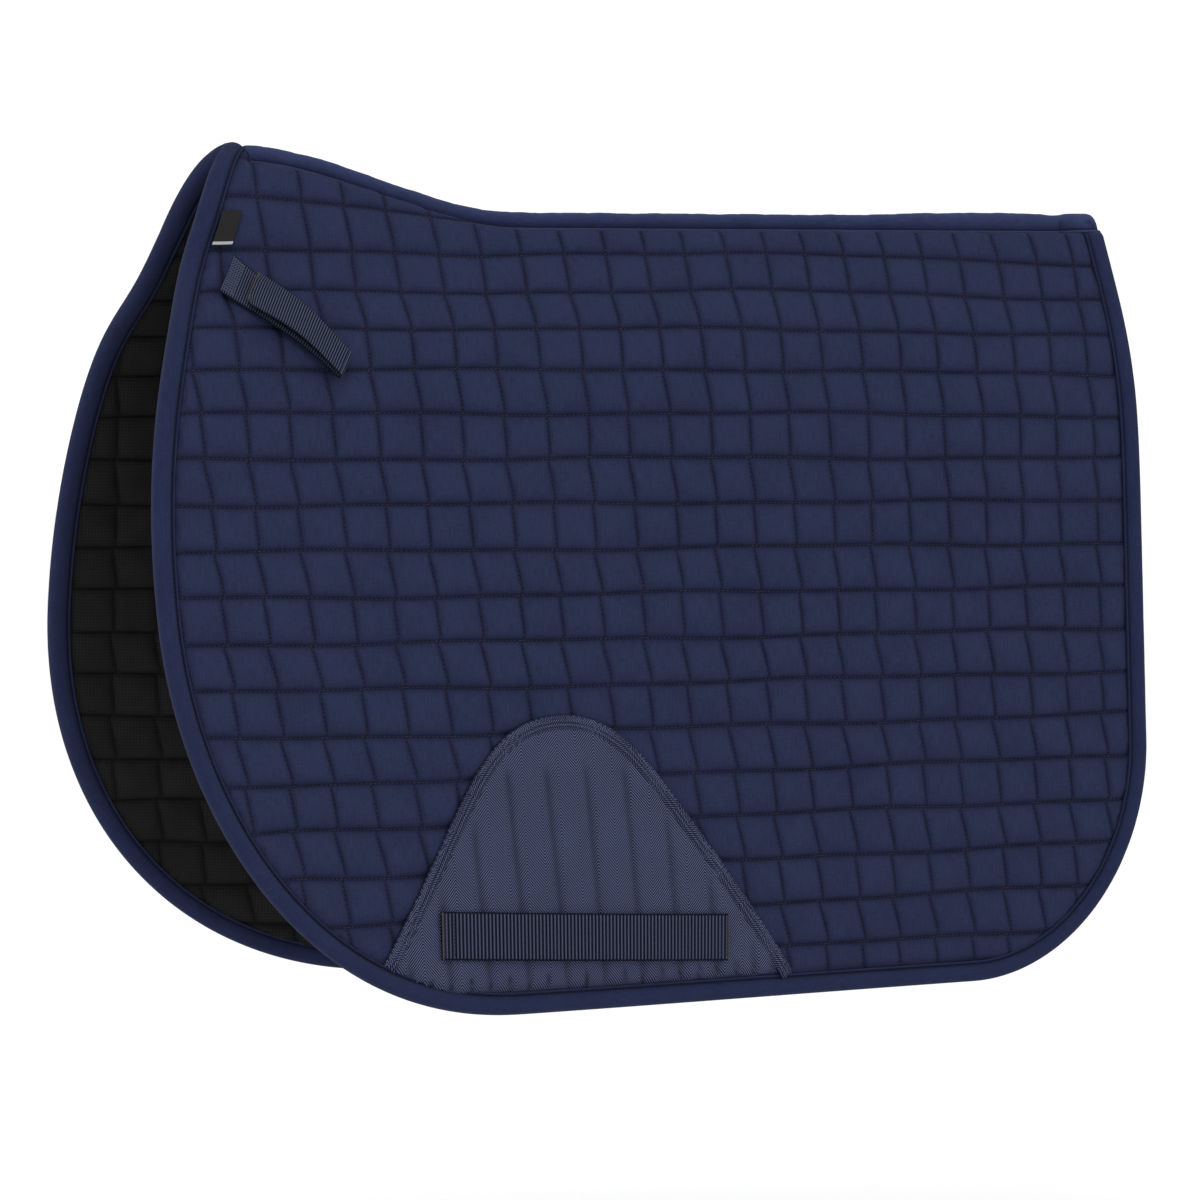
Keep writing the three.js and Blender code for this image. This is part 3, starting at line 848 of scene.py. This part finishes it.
def spine_cap(section):
    """The spine binding's rear end, folded down over the rear binding and sewn."""
    t = np.linspace(0, 1, 34)
    x = CAP_START + CAP_LENGTH * np.sin(t * math.pi / 2)
    puff = 1 + 0.1 * smooth(t / 0.25)
    close = smooth((t - 0.5) / 0.5) ** 2
    top = 1.9 * smooth(t / 0.3) - 7 * close
    rings, uv, shade = [], [], []
    run = 0
    flare = CAP_FLARE * smooth((x - REAR + 24) / 22)
    for k, (y, z) in enumerate(section):
        upper, below = smooth((z + 13) / 9), min(max(-z / 13, 0), 1)
        wide = y * 1.06 * puff + np.sign(y) * flare * math.sqrt(below)
        tucked = x - close * (1.3 + 5 * (1 - below))
        rings.append(keel_ring(tucked, wide * (1 - 0.1 * close), z + top * upper + 0.25))
        run += math.dist(section[k], section[k - 1]) if k else 0
        uv.append(np.stack([np.full_like(x, run), x], -1) / 1000)
        # painted shade at the start of the fold and along the slanting seam
        hem = 0.4 * np.exp(-(((t - 0.03) / 0.05) ** 2))
        slant_seam_shade = 0.7 * np.exp(-((((t - 0.62) * 24 + (z + 10) * 0.9) / 1.2) ** 2))
        shade.append(np.maximum(np.maximum(keel_shade(y, z), hem), slant_seam_shade * (z < -6)))
    cap = sweep("spine_binding_cap", rings, LIT_SPINE_TAPE, uv, shade)
    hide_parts("spine_tape_end")
    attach(cap, "spine")


def spine_stitches():
    x = np.arange(6.0, CAP_START - 1, 3.0)
    centres, alongs, outs = [], [], []
    for y in (-4.95, 4.95):
        here, ahead = keel_ring(x, y, -10.5), keel_ring(x + 1, y, -10.5)
        centres.append(here)
        alongs.append(ahead - here)
        outs.append(np.tile([0, math.copysign(1, y), 0.2], (len(x), 1)))
    made = stitches(
        "spine_stitches", centres, alongs, outs, DARK_THREAD, thick=0.6, square=False
    )
    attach(made, "spine")


# ======== girth patch ========
CHANNEL_PITCH, CHANNEL_START, CHANNEL_LEAN = 29.2, 26.3, 0.055


def patch_half(s):
    d = np.maximum(s - PATCH_TOP, 0)
    return (PATCH_BASE + PATCH_SLOPE * d) * np.sqrt(1 - np.exp(-d / PATCH_ROUND))


def patch_middle(s):
    return PATCH_X + PATCH_LEAN * smooth((s - PATCH_TOP) / 150)


def patch_surface(x, s):
    """Height of the patch over the quilting, and its seam shade."""
    column = (x - CHANNEL_START - CHANNEL_LEAN * (s - 465)) / CHANNEL_PITCH
    line = to_line(column) * CHANNEL_PITCH / CELL
    inside = patch_half(s) - np.abs(x - patch_middle(s))
    deep = smooth((inside - 9) / 16) * smooth((s - PATCH_TOP - 24) / 18)
    channel = np.exp(-((line / 3.4) ** 2)) * deep
    pleat = np.exp(-to_line(column * 2) / 2.4) * smooth((s - 499) / 8)
    hem = np.where(DROP - s < BOUND, 1, np.exp(-(DROP - s - BOUND) / 2.0))
    height = 1.5 - 1.6 * channel - 1.3 * pleat + 0.2 * np.sin(x / 9 + s / 33)
    # painted shade in the channels and pleats and near the hem
    shade = np.maximum(0.4 * channel**2, 0.9 * pleat)
    return height * (1 - hem) - 2.9 * hem, np.maximum(shade, 0.7 * hem)


def girth_patches():
    rows, cols = 96, 120
    i = np.linspace(0, 1, rows)[:, None] + np.zeros(cols)
    j = np.linspace(-1, 1, cols)[None, :] + 0 * i
    s = PATCH_TOP + 0.4 + (DROP - 5 - PATCH_TOP) * i**1.35
    x = patch_middle(s) + patch_half(s) * j
    height, shade = patch_surface(x, s)
    edge = edge_distance(x, s)[0]
    keep = whole_cells(edge > 4.5)
    near = np.where(edge < BOUND + 0.3, 1, np.exp(-(edge - BOUND - 0.3) / 2.2))
    height = height + (np.minimum(height, -3.55) - height) * near
    uv = np.stack([x, s], -1) / 1000
    for side, tag in SIDES:
        outer = cloth(side, x, s, height)
        inner = cloth(side, x, s, height - 0.7)
        patch = closed_grid(f"herringbone_patch_{tag}", outer, inner, keep, TWILL, uv, shade)
        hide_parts(f"girth_patch_{tag}")
        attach(patch, f"{tag}_flap")
        patch_band(side, tag)


BAND = (
    (-0.5, -1.6), (-0.6, 0.6), (0.0, 1.5), (0.9, 1.7), (1.7, 1.35), (2.3, 1.15), (3.0, 1.75),
    (3.8, 2.0), (4.5, 1.6), (4.9, 1.5), (5.6, 2.3), (6.2, 2.45), (6.9, 2.3), (7.5, 1.5),
    (8.2, 1.75), (9.0, 1.7), (9.4, 1.2), (9.2, 0.2), (5.0, 0.1),
)
# Painted shade along the band's seams and edges.
BAND_SEAM_SHADE = ((2.2, 0.5, 1), (4.8, 0.45, 1), (7.6, 0.45, 1), (-0.4, 1.1, 1), (9.3, 0.6, 0.8))


def patch_path():
    """The patch's two sides and rounded top, as points with inward directions."""
    u = np.linspace(1, 0, 90)
    s = PATCH_TOP + (DROP - 8 - PATCH_TOP) * u**1.8
    left = np.stack([patch_middle(s) - patch_half(s), s], -1)
    right = np.stack([patch_middle(s) + patch_half(s), s], -1)
    line, tangent, even = even_line(np.concatenate([left, right[::-1][1:]]), 1.5, 4)
    return line, np.stack([-tangent[:, 1], tangent[:, 0]], -1), even


def patch_band(side, tag):
    line, inward, run = patch_path()
    edge = edge_distance(line[:, 0], line[:, 1])[0]
    low = np.where(edge < BOUND + 1, 1, np.exp(-(edge - BOUND - 1) / 2.2))
    inside = edge > 5
    line, inward, run, low = line[inside], inward[inside], run[inside], low[inside]
    overlock = np.sin(run / 2.4 * 2 * math.pi)
    cord = 0.22 * np.sin(run / 3.2 * 2 * math.pi)
    rings, uv, shade = [], [], []
    for k, (t, o) in enumerate(BAND):
        x, s = line[:, 0] + inward[:, 0] * t, line[:, 1] + inward[:, 1] * t
        bumps = 0.3 * overlock * (t < 1.5) + cord * (5 < t < 7.2)
        top = o + bumps * (o > 0.8)
        rings.append(cloth(side, x, s, top + (np.minimum(top, -3.3 + 0.05 * o) - top) * low))
        uv.append(np.stack([run, np.full_like(run, float(t) + (20 if k > 16 else 0))], -1) / 1000)
        # painted shade in the seams, at the edges and between the overlock loops
        dark = sum(depth * math.exp(-(((t - at) / wide) ** 2)) for at, wide, depth in BAND_SEAM_SHADE)
        shade.append(np.clip(dark * 0.85 + 0.25 * (t < 1.2) * overlock, 0, 1))
    band = sweep(f"patch_band_{tag}", rings, TWILL, uv, shade)
    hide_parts(f"patch_edging_{tag}")
    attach(band, f"{tag}_flap")
    lines = [(line + inward * t) for t in (2.25, 4.75, 7.65)]
    heights = [np.full(len(line), h) - (h + 3.3) * low for h in (1.25, 1.55, 1.55)]
    made = seam_stitches(
        f"patch_stitches_{tag}", side, [a[:, 0] for a in lines], [a[:, 1] for a in lines],
        heights, DARK_THREAD, pitch=2.8, thick=0.5, keep=[low < 0.4] * 3,
    )
    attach(made, f"{tag}_flap")


# ======== webbing ========
def web_strip(name, side, point, length, width, thick, pitch, step, material, plain=(), corner=0.0):
    """A ribbed strip. point(u, w, o) is the cloth position of its middle surface."""
    u = np.arange(0, length + step / 2, step)
    ribs = 0.5 + 0.5 * np.sin(u / pitch * 2 * math.pi)
    for low, high in plain:
        ribs = np.where((u >= low) & (u <= high), 0.6, ribs)
    half = width / 2
    across = np.array([-1, -0.985, -0.9, -0.5, 0, 0.5, 0.9, 0.985, 1]) * half
    rings, uv, shade = [], [], []
    for w, upper in [(w, 1) for w in across] + [(w, 0) for w in across[::-1]]:
        round_off = 0.35 * (abs(w) > half * 0.95) + 0.25 * (abs(w) > half * 0.995)
        rib = 0.42 * (ribs - 0.5) * (abs(w) < half * 0.95)
        o = thick * (1 - round_off) + rib if upper else thick * round_off - rib
        turned_in = corner * (abs(w) / half) ** 6 * np.exp(-u / 5)
        rings.append(point(side, u + turned_in, np.full_like(u, w), o))
        uv.append(np.stack([u, np.full_like(u, w)], -1) / 1000)
        # painted shade: dark between the ribs and along the rounded edges
        shade.append(np.where(abs(w) < half * 0.95, (1 - ribs) ** 1.2, 0.75))
    return sweep(name, rings, material, uv, shade)


KEEPER = {"x0": 81, "x1": 300, "s0": 475, "s1": 486, "w": 31, "t": 1.8, "bow": 2.5, "lift": 2.2}
KEEPER_RUN = math.hypot(KEEPER["x1"] - KEEPER["x0"], KEEPER["s1"] - KEEPER["s0"])


def keeper_point(side, u, w, o):
    share = u / KEEPER_RUN
    lean_x = (KEEPER["x1"] - KEEPER["x0"]) / KEEPER_RUN
    lean_s = (KEEPER["s1"] - KEEPER["s0"]) / KEEPER_RUN
    slack = KEEPER["bow"] * np.sin(math.pi * np.clip((share - 0.06) / 0.88, 0, 1))
    sag = 0.8 * np.sin(u / 23) * np.sin(math.pi * share)
    x = KEEPER["x0"] + lean_x * u - lean_s * w
    s = KEEPER["s0"] + lean_s * u + lean_x * w
    return cloth(side, x, s, KEEPER["lift"] + slack + 0.3 * sag + o)


def keepers():
    for side, tag in SIDES:
        strip = web_strip(
            f"keeper_webbing_{tag}", side, keeper_point, KEEPER_RUN, KEEPER["w"], KEEPER["t"],
            2.67, 0.44, KEEPER_WEB, plain=((0, 2), (KEEPER_RUN - 2, KEEPER_RUN)),
        )
        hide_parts(f"girth_keeper_{tag}")
        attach(strip, f"{tag}_flap")
        w = np.linspace(-13.5, 13.5, 40)
        rows = []
        for u in (2.2, 8.8, KEEPER_RUN - 6.5, KEEPER_RUN - 2.2):
            rows.append((np.full_like(w, u), w))
        web_stitches(
            f"keeper_stitches_{tag}", side, keeper_point, rows, 2.05, f"{tag}_flap", DARK_THREAD
        )
        w = np.linspace(-15, 15, 40)
        ends = [(np.full_like(w, 0.6), w), (np.full_like(w, KEEPER_RUN - 0.6), w)]
        web_stitches(
            f"keeper_cut_end_{tag}", side, keeper_point, ends, 1.6, f"{tag}_flap",
            SCORCHED, 1.6, 2.6, 1.1,
        )


def web_stitches(name, side, point, rows, o, body, material, pitch=2.4, length=1.9, thick=0.6):
    centres, alongs, outs = [], [], []
    for u, w in rows:
        du, dw = u[-1] - u[0], w[-1] - w[0]
        total = math.hypot(du, dw)
        share = np.arange(pitch / 2, total, pitch) / total
        uu, ww = u[0] + du * share, w[0] + dw * share
        here = point(side, uu, ww, np.full_like(uu, o))
        step = 0.5 / total
        ahead = point(side, uu + du * step, ww + dw * step, np.full_like(uu, o))
        centres.append(here)
        alongs.append(ahead - here)
        outs.append(point(side, uu, ww, np.full_like(uu, o + 1)) - here)
    made = stitches(name, centres, alongs, outs, material, length=length, thick=thick)
    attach(made, body)


STRAP = {"x0": -25, "s0": 34, "x1": 43, "s1": 101, "w": 26, "t": 1.8, "anchor": 13, "tab": 19.5}
STRAP_RUN = math.hypot(STRAP["x1"] - STRAP["x0"], STRAP["s1"] - STRAP["s0"])
STRAP_TURN = 0.22  # radians the strap is turned outwards at the fold
STRAP_SPAN = ((-7.5, 14.5), (-5.5, 8.5))  # half of its width on the cloth, sewn end and fold
LOWER, UPPER, TAB_BOW = 0.8, 5.2, 2.2  # heights of the strap's two layers


def strap_point(side, u, w, o):
    """The strap lies flat where it is sewn and turns out along its lower edge."""
    share, half = u / STRAP_RUN, STRAP["w"] / 2
    far = smooth(share)
    turn = STRAP_TURN * far
    place = (w - o * np.sin(turn)) / half
    (x0, s0), (x1, s1) = STRAP_SPAN
    x = STRAP["x0"] + (STRAP["x1"] - STRAP["x0"] - 3.5) * share + (x0 + (x1 - x0) * far) * place
    s = STRAP["s0"] + (STRAP["s1"] - STRAP["s0"] + 4) * share + (s0 + (s1 - s0) * far) * place
    return cloth(side, x, s, o * np.cos(turn) + 0.8 * (w + half) * np.sin(turn))


def strap_layer(base, start=0.0, bow=0.0):
    def point(side, u, w, o):
        rise = bow * np.sin(math.pi * np.clip(u / (STRAP_RUN - start), 0, 1)) ** 2
        return strap_point(side, u + start, w, base + rise + o)

    return point


def strap_fold(side, u, w, o):
    """Half a turn at the strap's far end; u runs round it."""
    middle = (LOWER + UPPER + STRAP["t"]) / 2
    radius = (UPPER - LOWER) / 2
    turn = u / (math.pi * radius) * math.pi
    reach = radius - o + STRAP["t"] / 2
    along = STRAP_RUN - 0.4 + reach * np.sin(turn)
    return strap_point(side, along, w, middle - reach * np.cos(turn))


def front_straps():
    for side, tag in SIDES:
        fold_start = tuple(strap_point(side, STRAP_RUN, 0.0, LOWER + 1.6))
        fold_end = tuple(strap_point(side, STRAP_RUN, 0.0, UPPER + 0.2))
        lift_start = tuple(strap_point(side, STRAP["anchor"] - 3.0, 0.0, 2.0))
        lift_end = tuple(strap_point(side, STRAP["anchor"] + 2.5, 0.0, 2.0))
        size = (STRAP["w"], STRAP["t"], 1.8, 0.36, STRAP_WEB)
        lower = web_strip(f"strap_webbing_{tag}", side, strap_layer(LOWER), STRAP_RUN, *size)
        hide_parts(f"strap_anchor_{tag}", f"strap_lower_{tag}")
        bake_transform(lower)
        length = STRAP_RUN - STRAP["tab"]
        upper = strap_layer(UPPER, STRAP["tab"], TAB_BOW)
        tab = web_strip(f"strap_top_{tag}", side, upper, length, *size, corner=4)
        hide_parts(f"strap_tab_{tag}")
        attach(tab, f"{tag}_strap_tab")
        round_it = math.pi * (UPPER - LOWER) / 2
        fold = web_strip(f"strap_fold_{tag}", side, strap_fold, round_it, *size)
        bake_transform(fold)
        long = STRAP_RUN - 31
        for kind, base, look, body, bow in (
            ("hook", 3.0, HOOKS, "strap", 0.0),
            ("loop", 4.1, LOOPS, "strap_tab", 0.6 * TAB_BOW),
        ):
            layer = strap_layer(base, 22, bow)
            flat = (STRAP["w"] - 6, 0.7, 2.0, 1.0, look, ((0, long),))
            piece = web_strip(f"strap_{kind}_tape_{tag}", side, layer, long, *flat)
            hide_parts(f"strap_{kind}_{tag}")
            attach(piece, f"{tag}_{body}")
        w = np.linspace(-11.5, 11.5, 30)
        rows = [(np.full_like(w, u), w) for u in (1.4, 3.2, 5.0, 6.8, 8.6)]
        web_stitches(
            f"strap_stitches_{tag}", side, strap_layer(LOWER), rows, 2.1, f"{tag}_flap",
            PALE_THREAD, 1.9, 1.5, 0.7,
        )
        ends = [(np.full_like(w, STRAP["tab"] + 0.5), w)]
        web_stitches(
            f"strap_cut_end_{tag}", side, strap_layer(UPPER), ends, 1.6, f"{tag}_strap_tab",
            SCORCHED, 1.5, 2.4, 1.1,
        )


# ======== label ========
LABEL_WIDTH = 13.5


def label():
    up = np.linspace(-13, 8, 22)
    across = np.linspace(0, LABEL_WIDTH, 18)
    v, a = np.meshgrid(-up, across, indexing="ij")
    e = np.maximum(-v, 0) / 72
    edge = np.where(v > 0, front_edge(np.maximum(v, 0)), crown_front(e))
    x = edge + 16.4 + a
    lift = 0.5 + 0.9 * (a / LABEL_WIDTH) ** 3 + 0.4 * smooth((v - 6) / 4)
    uv = np.stack([x, v], -1) / 1000
    keep = np.ones((v.shape[0] - 1, v.shape[1] - 1), bool)
    outer, inner = cloth(-1, x, v, lift + 0.5), cloth(-1, x, v, lift)
    made = closed_grid("woven_label", outer, inner, keep, LABEL_BLACK, uv, 0 * v)
    made.data.materials.append(LABEL_BAR)
    bar = sorted((inner[1, 0, 2], inner[3, 0, 2]))
    for face in made.data.polygons:
        if bar[0] <= face.center[2] <= bar[1]:
            face.material_index = 1
    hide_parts("woven_label_left")
    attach(made, "spine")


# ======== camera, light and floor ========
CAMERA_TURN, CAMERA_PITCH, CAMERA_ROLL = math.radians(22.3), math.radians(2.1), math.radians(-0.75)
CAMERA_AIM, CAMERA_DISTANCE = Vector((-0.145, 0, -0.2503)), 3.01
LENS = 132  # millimetres, on a 36 mm sensor
FLOOR_HEIGHT, FLOOR_RADIUS = -0.78, 40


def camera():
    yaw, pitch, roll = CAMERA_TURN, CAMERA_PITCH, CAMERA_ROLL
    level = math.cos(pitch)
    ahead = Vector((math.sin(yaw) * level, math.cos(yaw) * level, -math.sin(pitch)))
    right = Vector((math.cos(yaw), -math.sin(yaw), 0))
    up = right.cross(ahead)
    turned_right = right * math.cos(roll) + up * math.sin(roll)
    turned_up = up * math.cos(roll) - right * math.sin(roll)
    data = bpy.data.cameras.new("camera")
    data.sensor_width = 36
    data.lens = LENS
    made = bpy.data.objects.new("camera", data)
    bpy.context.scene.collection.objects.link(made)
    axes = Matrix((turned_right, turned_up, -ahead)).transposed()
    made.matrix_world = Matrix.Translation(CAMERA_AIM - ahead * CAMERA_DISTANCE) @ axes.to_4x4()
    bpy.context.scene.camera = made


def studio():
    scene = bpy.context.scene
    scene.view_settings.view_transform = "Standard"
    world = bpy.data.worlds.new("soft_room")
    scene.world = world
    world.use_nodes = True
    background = world.node_tree.nodes["Background"].inputs
    background["Color"].default_value = (1, 1, 1, 1)
    background["Strength"].default_value = 1.08
    for place, size, power in (((-1.4, -2.2, 2.4), 1.4, 24), ((2.4, -1.2, 1.4), 1.6, 5)):
        light = bpy.data.lights.new("softbox", "AREA")
        light.size = size
        light.energy = power
        lamp = bpy.data.objects.new("softbox", light)
        scene.collection.objects.link(lamp)
        lamp.location = place
        towards = Vector((-0.1, 0, -0.25)) - Vector(place)
        lamp.rotation_euler = towards.to_track_quat("-Z", "Y").to_euler()
    floor_look = Look("pale_floor", 0.9, 0.0, 0.1)
    tone = floor_look.noise(floor_look.node("TexCoord")["Object"], 3.0)
    floor_look.finish(floor_look.mix(tone, (0.93, 0.93, 0.93), (0.95, 0.95, 0.95)))
    mesh = bpy.data.meshes.new("floor")
    around = np.arange(64) * 2 * math.pi / 64
    rim = [(FLOOR_RADIUS * math.cos(a), FLOOR_RADIUS * math.sin(a), FLOOR_HEIGHT) for a in around]
    mesh.from_pydata(rim, [], [list(range(64))])
    mesh.materials.append(floor_look.material)
    floor = bpy.data.objects.new("floor", mesh)
    scene.collection.objects.link(floor)
    floor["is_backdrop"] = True


camera()
studio()
quilted_panels()
quilt_stitches()
edge_binding()
spine_tapes()
spine_stitches()
girth_patches()
keepers()
front_straps()
label()

boxes = {"cad": cad_box, "visual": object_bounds()}
{key: [list(corner) for corner in box] for key, box in boxes.items()}
